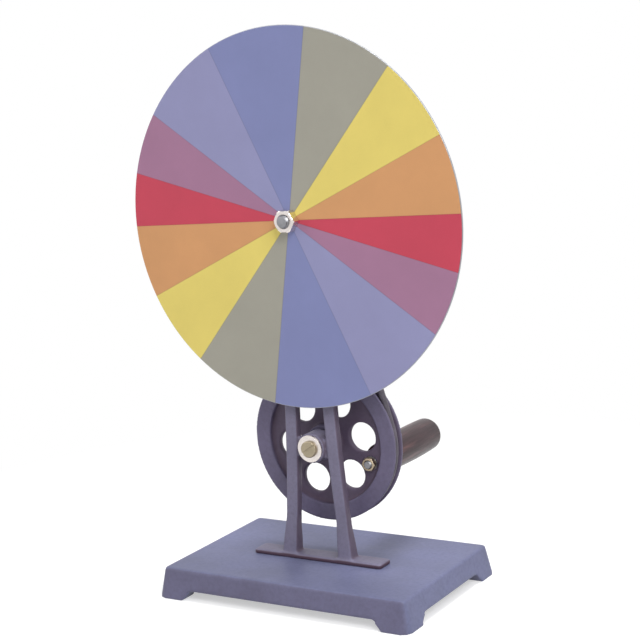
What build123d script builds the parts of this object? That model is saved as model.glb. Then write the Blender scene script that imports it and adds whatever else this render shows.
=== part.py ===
from build123d import *

import math
import os

# A hand-cranked colour disc. A grooved drive wheel, turned by a crank handle, drives a small
# pulley through a round belt, and the pulley's spindle spins a large disc with coloured sectors.
# Everything stands on a cast frame, which is screwed to a cast base from below.
#
# Seen from the front, +X is to the right, +Y goes back towards the crank handle and +Z is up.
# The origin is on the bench, in the middle of the machine's width and of its whole depth.
# Lengths are millimetres and angles are degrees. Distances called back are measured from the
# middle of the base towards the rear.

# Fits
running_fit = 0.05  # radial, between a shaft and the bush that it turns in
seat_fit = 0.03  # radial, between a bush or a thread and the bore that holds it
slip_fit = 0.2  # radial, between a washer or a plain hole and the bolt through it
end_float = 0.3  # along a shaft, between a turning face and a still one
belt_room = 0.3  # between the belt and the groove around it

# Base casting
base_length = 171.0  # along X at the top
base_depth = 108.5  # along Y at the top
base_height = 19.0
base_flare = 4.1  # how far the foot of the skirt stands outside the top edge
base_corner = 2.5  # upright corners, at the top
base_edge = 1.6  # rounding of the top edge
base_plate = 5.0
base_skirt = 4.0
foot_height = 6.0
foot_length = 19.0  # of each corner foot on the bench, along either side
foot_flank = 5.0  # how much longer a foot is where it joins the skirt
foot_fill = 16.0  # legs of the solid triangle in each corner of the hollow
screw_pad = 14.0  # diameter of the pads under the plate
screw_pad_drop = 2.0

# Screws that hold the frame to the base
foot_screw = 5.0
foot_screw_spacing = 64.0
foot_screw_head = 8.5
foot_screw_head_height = 3.0
foot_screw_cover = 0.6  # metal left above the screw's blind hole
foot_washer = 10.0
foot_washer_thickness = 1.0

# Upright frame
frame_offset = -4.2  # its middle, behind the middle of the base
frame_thickness = 6.0
leg_edge = 1.2  # rounding of the legs' long edges
boss_edge = 0.8  # rounding of the flange, the axle's boss and the spindle's housing
flange_length = 92.0
flange_depth = 13.6
flange_thickness = 3.0
flange_corner = 2.0
leg_width = 8.5
leg_foot_span = 40.2  # between the middles of the legs, at the flange
leg_foot_width = 11.0  # where a leg meets the flange
leg_foot_front = 2.8  # how far a foot stands out of the frame's front
leg_foot_back = 0.4
leg_knee_span = 35.0
leg_knee_height = 52.0
leg_axle_span = 29.6  # at the drive wheel's axle
leg_neck_span = 15.8  # at the spindle housing
leg_neck_lean = 0.13  # how far inwards a leg runs there for each millimetre up
crossbar_height = 12.0

# Drive wheel's axle
axle_height = 90.7
axle = 8.0
axle_boss = 19.0
axle_boss_front = 0.8  # how far the boss stands out of the frame's front
axle_boss_back = 5.2
axle_head = 10.5
axle_head_height = 2.0
axle_head_edge = 0.8
axle_thread = 6.0
axle_washer = 17.0
axle_washer_thickness = 1.6
thrust_washer = 18.0
thrust_washer_thickness = 1.0
end_washer = 13.0
end_washer_thickness = 1.2
axle_nut_flats = 10.0
axle_nut_thickness = 5.0
lock_nut_thickness = 3.2
axle_proud = 1.5  # thread beyond the last nut
slot_width = 1.4
slot_depth = 1.1

# Drive wheel
wheel_diameter = 101.0
rim_width = 10.3
rim_depth = 10.5  # radial
rim_edge = 1.0
web_thickness = 4.0
web_fillet = 2.0
web_hole = 18.5
web_hole_ring = 26.2  # radius
web_hole_count = 6
web_hole_edge = 0.8
hub_diameter = 22.0
hub_front_reach = 7.6  # from the belt's plane
hub_back_reach = 7.1
hub_edge = 0.8
wheel_bush = 12.0

# Belt and driven pulley
belt = 4.5
belt_sink = 3.0  # from the rims' outer edges to the belt's middle
groove_flare = 0.8  # how much wider each flank is at the rim than at the belt
pulley_diameter = 25.0
pulley_width = 10.0
pulley_hub = 14.0
pulley_hub_length = 6.0  # behind the grooved part
pulley_edge = 0.6

# Crank
crank_radius = 33.4
crank_angle = -20.6  # from +X towards +Z, seen from the front
crank_boss = 14.0
crank_boss_proud = 0.4  # behind the rim's rear face
crank_thread = 5.0
crank_nut_flats = 8.0
crank_nut_thickness = 3.2
crank_thread_proud = 0.8
crank_washer = 9.0
crank_washer_thickness = 1.0
crank_collar = 12.0
crank_collar_thickness = 1.5
crank_journal = 6.0
crank_head = 8.4
crank_head_height = 3.0
handle_washer = 12.0
handle_washer_thickness = 0.8
grip_length = 65.5
grip_front_diameter = 18.6
grip_belly_diameter = 21.5
grip_belly_distance = 26.0  # of the thickest place, from the grip's front end
grip_back_diameter = 21.0
grip_end_round = 3.6
grip_recess = 9.4  # diameter of the hole that the pin's head lies in
grip_recess_depth = 4.0

# Spindle
spindle_height = 233.0
spindle = 8.0
spindle_proud = 2.0  # in front of the disc nut
spindle_tail = 1.5  # behind the pulley
spindle_edge = 0.8
housing_diameter = 25.0
housing_front = 0.2  # how far the housing stands out of the frame's front
housing_back = 6.7
bush_diameter = 12.0
bush_length = 4.0
bush_flange = 16.0
bush_flange_thickness = 0.8
flange_grub = 2.5
pulley_grub = 4.0
grub_relief = 0.3  # below the hub's surface
grub_slot_width = 0.7

# Disc
disc_diameter = 230.0
disc_plate_thickness = 1.2
disc_flange = 34.0
disc_flange_thickness = 1.2
disc_hub = 15.0
disc_hub_length = 3.4
disc_nut_flats = 13.0
disc_nut_thickness = 6.5
sector_thickness = 0.3
sector_margin = 0.4  # bare plate outside the coloured sectors
sector_start_angle = 9.7  # clockwise from straight up, seen from the front
sector_angles = {  # clockwise, and the same again in the other half turn
    "green": 30.0,
    "yellow": 25.0,
    "orange": 23.0,
    "red": 17.0,
    "violet": 20.0,
    "indigo": 30.0,
    "blue": 35.0,
}

# Places along the shafts, worked out from the sizes above
frame_front = frame_offset - frame_thickness / 2
frame_back = frame_offset + frame_thickness / 2
axle_boss_face = frame_front - axle_boss_front
axle_washer_face = axle_boss_face - axle_washer_thickness
axle_head_face = axle_washer_face - axle_head_height
axle_boss_rear = frame_back + axle_boss_back
thrust_face = axle_boss_rear + thrust_washer_thickness
hub_face = thrust_face + end_float
belt_plane = hub_face + hub_front_reach
hub_rear = belt_plane + hub_back_reach
axle_shoulder = hub_rear + end_float
end_washer_rear = axle_shoulder + end_washer_thickness
axle_nut_rear = end_washer_rear + axle_nut_thickness
lock_nut_rear = axle_nut_rear + lock_nut_thickness
axle_rear = lock_nut_rear + axle_proud

rim_rear = belt_plane + rim_width / 2
web_face = belt_plane - web_thickness / 2
crank_washer_face = web_face - crank_washer_thickness
crank_nut_face = crank_washer_face - crank_nut_thickness
crank_thread_face = crank_nut_face - crank_thread_proud
crank_boss_rear = rim_rear + crank_boss_proud
crank_collar_rear = crank_boss_rear + crank_collar_thickness
handle_washer_rear = crank_collar_rear + handle_washer_thickness
grip_face = handle_washer_rear + end_float
grip_rear = grip_face + grip_length
crank_head_face = grip_rear - grip_recess_depth + end_float

housing_face = frame_front - housing_front
housing_rear = frame_back + housing_back
front_bush_face = housing_face - bush_flange_thickness
rear_bush_rear = housing_rear + bush_flange_thickness
disc_hub_rear = front_bush_face - end_float
disc_flange_rear = disc_hub_rear - disc_hub_length
disc_plate_rear = disc_flange_rear - disc_flange_thickness
sector_rear = disc_plate_rear - disc_plate_thickness
disc_face = sector_rear - sector_thickness
disc_nut_face = disc_face - disc_nut_thickness
flange_grub_back = disc_hub_rear - disc_hub_length / 2
spindle_face = disc_nut_face - spindle_proud
pulley_face = rear_bush_rear + end_float
pulley_groove_rear = belt_plane + pulley_width / 2
pulley_rear = pulley_groove_rear + pulley_hub_length
pulley_grub_back = pulley_rear - pulley_hub_length / 2
spindle_rear = pulley_rear + spindle_tail

# The base's middle, in front of the middle of the whole machine
base_y = (base_depth / 2 + base_flare - grip_rear) / 2

# Radii that pieces share, and the crank pin's place
rim_radius = wheel_diameter / 2
rim_inner_radius = rim_radius - rim_depth
wheel_pitch_radius = rim_radius - belt_sink
pulley_pitch_radius = pulley_diameter / 2 - belt_sink
bush_bore_radius = axle / 2 + running_fit
spindle_bore_radius = spindle / 2 + running_fit
crank_right = crank_radius * math.cos(math.radians(crank_angle))
crank_height = axle_height + crank_radius * math.sin(math.radians(crank_angle))
foot_screw_places = [(side * foot_screw_spacing / 2, frame_offset) for side in (-1, 1)]
flange_top = base_height + flange_thickness


def level(height):
    """A level plane over the middle of the base."""
    return Plane(origin=(0, base_y, height))


def across(back, height, right=0.0):
    """An upright plane square to a shaft: a positive extrusion grows towards the front."""
    return Plane(origin=(right, base_y + back, height), x_dir=(1, 0, 0), z_dir=(0, -1, 0))


def along(back, height, right=0.0):
    """A plane through a shaft: x runs to the rear and y is the radius, straight up."""
    return Plane(origin=(right, base_y + back, height), x_dir=(0, 1, 0), z_dir=(1, 0, 0))


def above_spindle(back):
    """A level plane through the spindle's middle, under a grub screw."""
    return Plane(origin=(0, base_y + back, spindle_height))


def shaft_line(height, right=0.0):
    """The axis of a shaft, pointing to the rear."""
    return Axis((right, 0, height), (0, 1, 0))


def turned_piece(height, steps, bore_radius=0.0, right=0.0):
    """A round piece about a shaft, from its steps of front, rear and radius."""
    with BuildPart() as piece:
        for front, rear, radius in steps:
            with BuildSketch(across(rear, height, right)):
                Circle(radius)
            extrude(amount=rear - front)
        if bore_radius:
            first = min(front for front, rear, radius in steps)
            last = max(rear for front, rear, radius in steps)
            with BuildSketch(across(last, height, right)):
                Circle(bore_radius)
            extrude(amount=last - first, mode=Mode.SUBTRACT)
    return piece


def hexagon_nut(height, front, thickness, flats, bore_radius, right=0.0):
    """A nut with both faces' corners turned off at 30 degrees."""
    corner_radius = flats / math.sqrt(3)
    face_radius = 0.48 * flats
    corner_drop = (corner_radius - face_radius) * math.tan(math.radians(30))
    with BuildPart() as nut:
        with BuildSketch(across(front + thickness, height, right)):
            RegularPolygon(flats / 2, 6, major_radius=False)
            Circle(bore_radius, mode=Mode.SUBTRACT)
        extrude(amount=thickness)
        with BuildSketch(along(front, height, right)):
            Polygon(
                (0, 0),
                (0, face_radius),
                (corner_drop, corner_radius),
                (thickness - corner_drop, corner_radius),
                (thickness, face_radius),
                (thickness, 0),
                align=None,
            )
        revolve(axis=shaft_line(height, right), mode=Mode.INTERSECT)
    return nut


def cut_belt_groove(pitch_radius, rim_radius):
    """Cuts the groove for the belt out of a wheel's section."""
    half = belt / 2 + belt_room
    with Locations((0, pitch_radius)):
        Circle(half, mode=Mode.SUBTRACT)
    Polygon(
        (-half, pitch_radius),
        (half, pitch_radius),
        (half + groove_flare, rim_radius),
        (-half - groove_flare, rim_radius),
        align=None,
        mode=Mode.SUBTRACT,
    )


# ---------------------------------------------------------------------------------- stand

with BuildPart() as base_casting:
    with BuildSketch(level(0)):
        RectangleRounded(
            base_length + 2 * base_flare, base_depth + 2 * base_flare, base_corner + base_flare
        )
    with BuildSketch(level(base_height)):
        RectangleRounded(base_length, base_depth, base_corner)
    loft()
    fillet(base_casting.edges().group_by(Axis.Z)[-1], base_edge)
    # the hollow, which leaves the corners solid above the feet
    with BuildSketch(level(0)):
        hollow = Rectangle(base_length - 2 * base_skirt, base_depth - 2 * base_skirt)
        chamfer(hollow.vertices(), foot_fill)
    extrude(amount=base_height - base_plate, mode=Mode.SUBTRACT)
    # the skirt stops short of the bench between the feet
    for side_plane, side_length, through in (
        (across(0, 0), base_length, base_depth),
        (along(0, 0), base_depth, base_length),
    ):
        gap_half = side_length / 2 + base_flare - foot_length
        with BuildSketch(side_plane):
            Polygon(
                (-gap_half, 0),
                (gap_half, 0),
                (gap_half - foot_flank, foot_height),
                (foot_flank - gap_half, foot_height),
                align=None,
            )
        extrude(amount=through / 2 + 2 * base_flare, both=True, mode=Mode.SUBTRACT)
    # pads and holes for the screws that hold the frame
    with BuildSketch(level(base_height - base_plate - screw_pad_drop)):
        with Locations(*foot_screw_places):
            Circle(screw_pad / 2)
    extrude(amount=screw_pad_drop)
    with BuildSketch(level(0)):
        with Locations(*foot_screw_places):
            Circle(foot_screw / 2 + slip_fit)
    extrude(amount=base_height, mode=Mode.SUBTRACT)

with BuildPart() as upright_frame:
    # the foot flange
    with BuildSketch(level(base_height)):
        with Locations((0, frame_offset)):
            RectangleRounded(flange_length, flange_depth, flange_corner)
    extrude(amount=flange_thickness)
    fillet(upright_frame.edges().group_by(Axis.Z)[-1], boss_edge)
    # two legs that curve in from the flange and run up to the spindle housing
    with BuildSketch(across(frame_back, 0)):
        with BuildLine():
            Spline(
                (leg_foot_span / 2, base_height + flange_thickness / 2),
                (leg_knee_span / 2, leg_knee_height),
                (leg_axle_span / 2, axle_height),
                (leg_neck_span / 2, spindle_height - housing_diameter / 4),
                tangents=(
                    (leg_knee_span / 2 - leg_foot_span / 2, leg_knee_height - base_height),
                    (-leg_neck_lean, 1),
                ),
            )
        trace(line_width=leg_width)
        mirror(about=Plane.YZ)
    extrude(amount=frame_thickness)
    fillet(upright_frame.edges().filter_by(lambda e: e.length > axle_height), leg_edge)
    # each leg widens towards the flange
    foot_depth = frame_thickness + leg_foot_front + leg_foot_back
    foot_middle = frame_offset + (leg_foot_back - leg_foot_front) / 2
    for side in (-1, 1):
        with BuildSketch(level(flange_top)):
            with Locations((side * leg_foot_span / 2, foot_middle)):
                RectangleRounded(leg_foot_width, foot_depth, leg_edge)
        with BuildSketch(level(leg_knee_height)):
            with Locations((side * leg_knee_span / 2, frame_offset)):
                RectangleRounded(leg_width - leg_edge, frame_thickness - leg_edge, leg_edge)
        loft()
    # the crossbar, the axle's boss and the spindle's housing
    with BuildSketch(across(frame_back - leg_edge, axle_height)):
        Rectangle(leg_axle_span, crossbar_height)
    extrude(amount=frame_thickness - 2 * leg_edge)
    with BuildSketch(across(axle_boss_rear, axle_height)):
        Circle(axle_boss / 2)
    extrude(amount=axle_boss_rear - axle_boss_face)
    boss_circles = upright_frame.edges().filter_by(GeomType.CIRCLE)
    boss_circles = boss_circles.filter_by(lambda e: abs(e.radius - axle_boss / 2) < 0.01)
    fillet(boss_circles.sort_by(Axis.Y)[0], boss_edge)
    with BuildSketch(across(housing_rear, spindle_height)):
        Circle(housing_diameter / 2)
    extrude(amount=housing_rear - housing_face)
    housing_circles = upright_frame.edges().filter_by(GeomType.CIRCLE)
    housing_circles = housing_circles.filter_by(
        lambda e: abs(e.radius - housing_diameter / 2) < 0.01
    )
    fillet(housing_circles.sort_by(Axis.Y)[-1], boss_edge)
    # bores for the axle, the spindle's bushes and the foot screws
    with BuildSketch(across(axle_boss_rear, axle_height)):
        Circle(axle / 2 + seat_fit)
    extrude(amount=axle_boss_rear - axle_boss_face, mode=Mode.SUBTRACT)
    with BuildSketch(across(housing_rear, spindle_height)):
        Circle(bush_diameter / 2 + seat_fit)
    extrude(amount=housing_rear - housing_face, mode=Mode.SUBTRACT)
    with BuildSketch(level(base_height)):
        with Locations(*foot_screw_places):
            Circle(foot_screw / 2 + seat_fit)
    extrude(amount=flange_thickness - foot_screw_cover, mode=Mode.SUBTRACT)

foot_washer_top = base_height - base_plate - screw_pad_drop
foot_head_top = foot_washer_top - foot_washer_thickness

with BuildPart() as foot_washers:
    with BuildSketch(level(foot_head_top)):
        with Locations(*foot_screw_places):
            Circle(foot_washer / 2)
            Circle(foot_screw / 2 + slip_fit, mode=Mode.SUBTRACT)
    extrude(amount=foot_washer_thickness)

with BuildPart() as foot_screws:
    with BuildSketch(level(foot_head_top - foot_screw_head_height)):
        with Locations(*foot_screw_places):
            Circle(foot_screw_head / 2)
    extrude(amount=foot_screw_head_height)
    with BuildSketch(level(foot_head_top)):
        with Locations(*foot_screw_places):
            Circle(foot_screw / 2)
    extrude(amount=flange_top - foot_screw_cover - end_float - foot_head_top)
    with BuildSketch(level(foot_head_top - foot_screw_head_height)):
        with Locations(*foot_screw_places):
            Rectangle(foot_screw_head, slot_width)
    extrude(amount=slot_depth, mode=Mode.SUBTRACT)

front_spindle_bush = turned_piece(
    spindle_height,
    [
        (front_bush_face, housing_face, bush_flange / 2),
        (housing_face, housing_face + bush_length, bush_diameter / 2),
    ],
    spindle_bore_radius,
)

rear_spindle_bush = turned_piece(
    spindle_height,
    [
        (housing_rear - bush_length, housing_rear, bush_diameter / 2),
        (housing_rear, rear_bush_rear, bush_flange / 2),
    ],
    spindle_bore_radius,
)

with BuildPart() as axle_bolt:
    with BuildSketch(across(axle_washer_face, axle_height)):
        Circle(axle_head / 2)
    extrude(amount=axle_head_height)
    fillet(axle_bolt.edges().group_by(Axis.Y)[0], axle_head_edge)
    with BuildSketch(across(axle_head_face + slot_depth, axle_height)):
        Rectangle(axle_head, slot_width, rotation=35)
    extrude(amount=slot_depth, mode=Mode.SUBTRACT)
    with BuildSketch(across(axle_shoulder, axle_height)):
        Circle(axle / 2)
    extrude(amount=axle_shoulder - axle_washer_face)
    with BuildSketch(across(axle_rear, axle_height)):
        Circle(axle_thread / 2)
    extrude(amount=axle_rear - axle_shoulder)
    chamfer(axle_bolt.edges().group_by(Axis.Y)[-1], spindle_edge)

axle_front_washer = turned_piece(
    axle_height, [(axle_washer_face, axle_boss_face, axle_washer / 2)], axle / 2 + slip_fit
)
axle_thrust_washer = turned_piece(
    axle_height, [(axle_boss_rear, thrust_face, thrust_washer / 2)], axle / 2 + slip_fit
)
axle_end_washer = turned_piece(
    axle_height, [(axle_shoulder, end_washer_rear, end_washer / 2)], axle_thread / 2 + slip_fit
)
axle_nut = hexagon_nut(
    axle_height, end_washer_rear, axle_nut_thickness, axle_nut_flats, axle_thread / 2 + seat_fit
)
axle_lock_nut = hexagon_nut(
    axle_height, axle_nut_rear, lock_nut_thickness, axle_nut_flats, axle_thread / 2 + seat_fit
)

# The belt is open, so both runs lean in by the same angle.
shaft_distance = spindle_height - axle_height
belt_lean = math.degrees(math.asin((wheel_pitch_radius - pulley_pitch_radius) / shaft_distance))
belt_run = shaft_distance * math.cos(math.radians(belt_lean))


def belt_section(height, radius, angle):
    """The plane across the belt on a wheel: its normal follows the belt clockwise."""
    outward = Vector(math.cos(math.radians(angle)), 0, math.sin(math.radians(angle)))
    middle = Vector(0, base_y + belt_plane, height) + outward * radius
    return Plane(origin=middle, x_dir=(0, 1, 0), z_dir=Vector(0, 1, 0).cross(outward))


with BuildPart() as drive_belt:
    for height, radius, start, turn in (
        (axle_height, wheel_pitch_radius, belt_lean, 180 + 2 * belt_lean),
        (spindle_height, pulley_pitch_radius, 180 - belt_lean, 180 - 2 * belt_lean),
    ):
        with BuildSketch(belt_section(height, radius, start)):
            Circle(belt / 2)
        revolve(axis=shaft_line(height), revolution_arc=turn)
        with BuildSketch(belt_section(height, radius, start - turn)):
            Circle(belt / 2)
        extrude(amount=belt_run)

# ---------------------------------------------------------------------------- drive wheel

with BuildPart() as drive_wheel:
    with BuildSketch(along(belt_plane, axle_height)) as wheel_section:
        with Locations((0, rim_radius - rim_depth / 2)):
            Rectangle(rim_width, rim_depth)
        with Locations((0, rim_inner_radius / 2)):
            Rectangle(web_thickness, rim_inner_radius)
        with Locations(((hub_back_reach - hub_front_reach) / 2, hub_diameter / 4)):
            Rectangle(hub_back_reach + hub_front_reach, hub_diameter / 2)
        corners = wheel_section.vertices()
        web_corners = corners.filter_by(lambda v: abs(abs(v.X) - web_thickness / 2) < 0.01)
        rim_corners = corners.filter_by(lambda v: abs(abs(v.X) - rim_width / 2) < 0.01)
        hub_corners = corners.filter_by(lambda v: abs(v.Y - hub_diameter / 2) < 0.01)
        hub_corners = hub_corners.filter_by(lambda v: abs(v.X) > web_thickness)
        fillet(web_corners, web_fillet)
        fillet(rim_corners, rim_edge)
        fillet(hub_corners, hub_edge)
        cut_belt_groove(wheel_pitch_radius, rim_radius)
    revolve(axis=shaft_line(axle_height))
    # round holes through the web, evenly spaced on both sides of the crank
    with BuildSketch(across(belt_plane + web_thickness / 2, axle_height)):
        with PolarLocations(
            web_hole_ring, web_hole_count, start_angle=crank_angle + 180 / web_hole_count
        ):
            Circle(web_hole / 2)
    extrude(amount=web_thickness, mode=Mode.SUBTRACT)
    hole_rims = drive_wheel.edges().filter_by(GeomType.CIRCLE)
    hole_rims = hole_rims.filter_by(lambda e: abs(e.radius - web_hole / 2) < 0.01)
    fillet(hole_rims, web_hole_edge)
    # the boss that the crank pin's collar sits on
    with BuildSketch(across(crank_boss_rear, crank_height, crank_right)):
        Circle(crank_boss / 2)
    extrude(amount=crank_boss_rear - belt_plane)
    # bores for the bush and the crank pin
    with BuildSketch(across(hub_rear, axle_height)):
        Circle(wheel_bush / 2 + seat_fit)
    extrude(amount=hub_rear - hub_face, mode=Mode.SUBTRACT)
    with BuildSketch(across(crank_boss_rear, crank_height, crank_right)):
        Circle(crank_thread / 2 + seat_fit)
    extrude(amount=crank_boss_rear - web_face, mode=Mode.SUBTRACT)

wheel_hub_bush = turned_piece(
    axle_height, [(hub_face, hub_rear, wheel_bush / 2)], bush_bore_radius
)

with BuildPart() as crank_pin:
    for front, rear, radius in (
        (crank_thread_face, crank_boss_rear, crank_thread / 2),
        (crank_boss_rear, crank_collar_rear, crank_collar / 2),
        (crank_collar_rear, crank_head_face, crank_journal / 2),
        (crank_head_face, crank_head_face + crank_head_height, crank_head / 2),
    ):
        with BuildSketch(across(rear, crank_height, crank_right)):
            Circle(radius)
        extrude(amount=rear - front)
    with BuildSketch(across(crank_head_face + crank_head_height, crank_height, crank_right)):
        Rectangle(crank_head, slot_width, rotation=20)
    extrude(amount=slot_depth, mode=Mode.SUBTRACT)

crank_pin_washer = turned_piece(
    crank_height,
    [(crank_washer_face, web_face, crank_washer / 2)],
    crank_thread / 2 + slip_fit,
    crank_right,
)
crank_pin_nut = hexagon_nut(
    crank_height,
    crank_nut_face,
    crank_nut_thickness,
    crank_nut_flats,
    crank_thread / 2 + seat_fit,
    crank_right,
)
handle_end_washer = turned_piece(
    crank_height,
    [(crank_collar_rear, handle_washer_rear, handle_washer / 2)],
    crank_journal / 2 + slip_fit,
    crank_right,
)

# ----------------------------------------------------------------------------------- grip

with BuildPart() as handle_grip:
    round_start = grip_length - grip_end_round
    with BuildSketch(along(grip_face, crank_height, crank_right)):
        with BuildLine():
            barrel = ThreePointArc(
                (0, grip_front_diameter / 2),
                (grip_belly_distance, grip_belly_diameter / 2),
                (round_start, grip_back_diameter / 2),
            )
            rounding = CenterArc(
                (round_start, grip_back_diameter / 2 - grip_end_round), grip_end_round, 90, -90
            )
            Polyline(rounding @ 1, (grip_length, 0), (0, 0), barrel @ 0)
        make_face()
    revolve(axis=shaft_line(crank_height, crank_right))
    with BuildSketch(across(grip_rear, crank_height, crank_right)):
        Circle(crank_journal / 2 + running_fit)
    extrude(amount=grip_length, mode=Mode.SUBTRACT)
    with BuildSketch(across(grip_rear, crank_height, crank_right)):
        Circle(grip_recess / 2)
    extrude(amount=grip_recess_depth, mode=Mode.SUBTRACT)

# ----------------------------------------------------------------------------------- disc

with BuildPart() as disc_spindle:
    with BuildSketch(across(spindle_rear, spindle_height)):
        Circle(spindle / 2)
    extrude(amount=spindle_rear - spindle_face)
    chamfer(disc_spindle.edges(), spindle_edge)

with BuildPart() as disc_backing_flange:
    with BuildSketch(across(disc_flange_rear, spindle_height)):
        Circle(disc_flange / 2)
    extrude(amount=disc_flange_thickness)
    with BuildSketch(across(disc_hub_rear, spindle_height)):
        Circle(disc_hub / 2)
    extrude(amount=disc_hub_length)
    with BuildSketch(across(disc_hub_rear, spindle_height)):
        Circle(spindle / 2 + seat_fit)
    extrude(amount=disc_hub_length + disc_flange_thickness, mode=Mode.SUBTRACT)
    with BuildSketch(above_spindle(flange_grub_back)):
        Circle(flange_grub / 2 + seat_fit)
    extrude(amount=disc_hub, mode=Mode.SUBTRACT)

with BuildPart() as driven_pulley:
    with BuildSketch(along(belt_plane, spindle_height)) as pulley_section:
        with Locations((0, pulley_diameter / 4)):
            Rectangle(pulley_width, pulley_diameter / 2)
        fillet(pulley_section.vertices().group_by(Axis.Y)[-1], pulley_edge)
        cut_belt_groove(pulley_pitch_radius, pulley_diameter / 2)
    revolve(axis=shaft_line(spindle_height))
    with BuildSketch(across(pulley_rear, spindle_height)):
        Circle(pulley_hub / 2)
    extrude(amount=pulley_rear - pulley_face)
    with BuildSketch(across(pulley_rear, spindle_height)):
        Circle(spindle / 2 + seat_fit)
    extrude(amount=pulley_rear - pulley_face, mode=Mode.SUBTRACT)
    with BuildSketch(above_spindle(pulley_grub_back)):
        Circle(pulley_grub / 2 + seat_fit)
    extrude(amount=pulley_hub, mode=Mode.SUBTRACT)


def hub_grub_screw(back, hub_radius, diameter):
    """A headless screw down through a hub onto the spindle."""
    bottom = spindle / 2 + seat_fit
    top = hub_radius - grub_relief
    with BuildPart() as screw:
        with BuildSketch(above_spindle(back).offset(bottom)):
            Circle(diameter / 2)
        extrude(amount=top - bottom)
        with BuildSketch(above_spindle(back).offset(top)):
            Rectangle(diameter, grub_slot_width)
        extrude(amount=-slot_depth, mode=Mode.SUBTRACT)
    return screw


flange_grub_screw = hub_grub_screw(flange_grub_back, disc_hub / 2, flange_grub)
pulley_grub_screw = hub_grub_screw(pulley_grub_back, pulley_hub / 2, pulley_grub)

disc_plate = turned_piece(
    spindle_height,
    [(sector_rear, disc_plate_rear, disc_diameter / 2)],
    spindle / 2 + slip_fit,
)
disc_nut = hexagon_nut(
    spindle_height, disc_nut_face, disc_nut_thickness, disc_nut_flats, spindle / 2 + seat_fit
)

coloured_sectors = {}
sector_from = sector_start_angle
for colour, sector_angle in sector_angles.items():
    with BuildPart() as sectors:
        with BuildSketch(across(sector_rear, spindle_height)):
            for half_turn in (0, 180):
                first_angle = 90 - sector_from - sector_angle - half_turn
                with BuildLine():
                    outer = CenterArc(
                        (0, 0), disc_diameter / 2 - sector_margin, first_angle, sector_angle
                    )
                    inner = CenterArc((0, 0), spindle / 2 + slip_fit, first_angle, sector_angle)
                    Line(outer @ 0, inner @ 0)
                    Line(outer @ 1, inner @ 1)
                make_face()
        extrude(amount=sector_thickness)
    coloured_sectors[f"{colour}_sectors"] = sectors
    sector_from += sector_angle

# ---------------------------------------------------------------------------------- files

pieces = {
    "base_casting": base_casting,
    "upright_frame": upright_frame,
    "foot_washers": foot_washers,
    "foot_screws": foot_screws,
    "front_spindle_bush": front_spindle_bush,
    "rear_spindle_bush": rear_spindle_bush,
    "axle_bolt": axle_bolt,
    "axle_front_washer": axle_front_washer,
    "axle_thrust_washer": axle_thrust_washer,
    "axle_end_washer": axle_end_washer,
    "axle_nut": axle_nut,
    "axle_lock_nut": axle_lock_nut,
    "drive_belt": drive_belt,
    "drive_wheel": drive_wheel,
    "wheel_hub_bush": wheel_hub_bush,
    "crank_pin": crank_pin,
    "crank_pin_washer": crank_pin_washer,
    "crank_pin_nut": crank_pin_nut,
    "handle_end_washer": handle_end_washer,
    "handle_grip": handle_grip,
    "disc_spindle": disc_spindle,
    "disc_backing_flange": disc_backing_flange,
    "flange_grub_screw": flange_grub_screw,
    "disc_plate": disc_plate,
    "disc_nut": disc_nut,
    "driven_pulley": driven_pulley,
    "pulley_grub_screw": pulley_grub_screw,
} | coloured_sectors

os.makedirs("parts", exist_ok=True)
for name, piece in pieces.items():
    piece.part.label = name
    export_step(piece.part, f"parts/{name}.step")
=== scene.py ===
"""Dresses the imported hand-cranked colour disc: castings, belt, handle, fasteners, disc and stage.

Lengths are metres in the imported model's frame: +X is to the right of someone facing the disc,
+Y goes back towards the crank handle and +Z is up.
"""

import math

import bmesh
import bpy
from mathutils import Matrix, Vector


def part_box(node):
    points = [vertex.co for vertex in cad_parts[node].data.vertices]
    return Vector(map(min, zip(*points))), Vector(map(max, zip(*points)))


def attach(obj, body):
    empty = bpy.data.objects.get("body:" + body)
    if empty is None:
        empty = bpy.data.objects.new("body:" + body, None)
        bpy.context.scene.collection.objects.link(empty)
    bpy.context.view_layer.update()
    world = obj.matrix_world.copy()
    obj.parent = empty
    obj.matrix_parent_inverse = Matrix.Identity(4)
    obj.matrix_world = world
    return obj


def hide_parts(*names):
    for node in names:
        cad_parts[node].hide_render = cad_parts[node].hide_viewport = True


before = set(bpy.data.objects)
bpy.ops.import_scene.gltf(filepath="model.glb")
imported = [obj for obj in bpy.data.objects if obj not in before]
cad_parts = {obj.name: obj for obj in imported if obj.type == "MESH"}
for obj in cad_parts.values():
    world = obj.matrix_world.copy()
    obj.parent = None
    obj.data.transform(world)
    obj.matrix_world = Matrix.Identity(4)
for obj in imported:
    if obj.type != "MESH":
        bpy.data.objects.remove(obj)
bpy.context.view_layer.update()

bl_info = {
    "name": "Hand-cranked colour disc",
    "version": (1, 0, 0),
    "blender": (4, 5, 0),
    "location": "View3D > Sidebar > Colour Disc",
    "description": "Builds the visible pieces of a hand-cranked colour disc around its CAD model",
    "category": "Object",
}

MM = 0.001


def node_middle(node):
    """The middle of a CAD node's box."""
    low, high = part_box(node)
    return (low + high) / 2


AXLE = node_middle("axle_front_washer")
SPINDLE = node_middle("disc_plate")
CRANK = node_middle("handle_end_washer")

# radius and pitch of each thread
M5 = (2.5 * MM, 0.8 * MM)
M6 = (3.0 * MM, 1.0 * MM)
M8 = (4.0 * MM, 1.25 * MM)
THREAD_DEPTH = 0.42  # of the pitch
PLAIN_SHANK = 4.0 * MM  # of the crank pin, at the rear of the wheel's boss
SHOULDER_GAP = 0.1 * MM  # from the axle bolt's shoulder to its thread

# the coloured sectors clockwise from the front, with the degrees that each takes up
SECTORS = (
    ("green", 30.0),
    ("yellow", 25.0),
    ("orange", 23.0),
    ("red", 17.0),
    ("violet", 20.0),
    ("indigo", 30.0),
    ("blue", 35.0),
)

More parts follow.
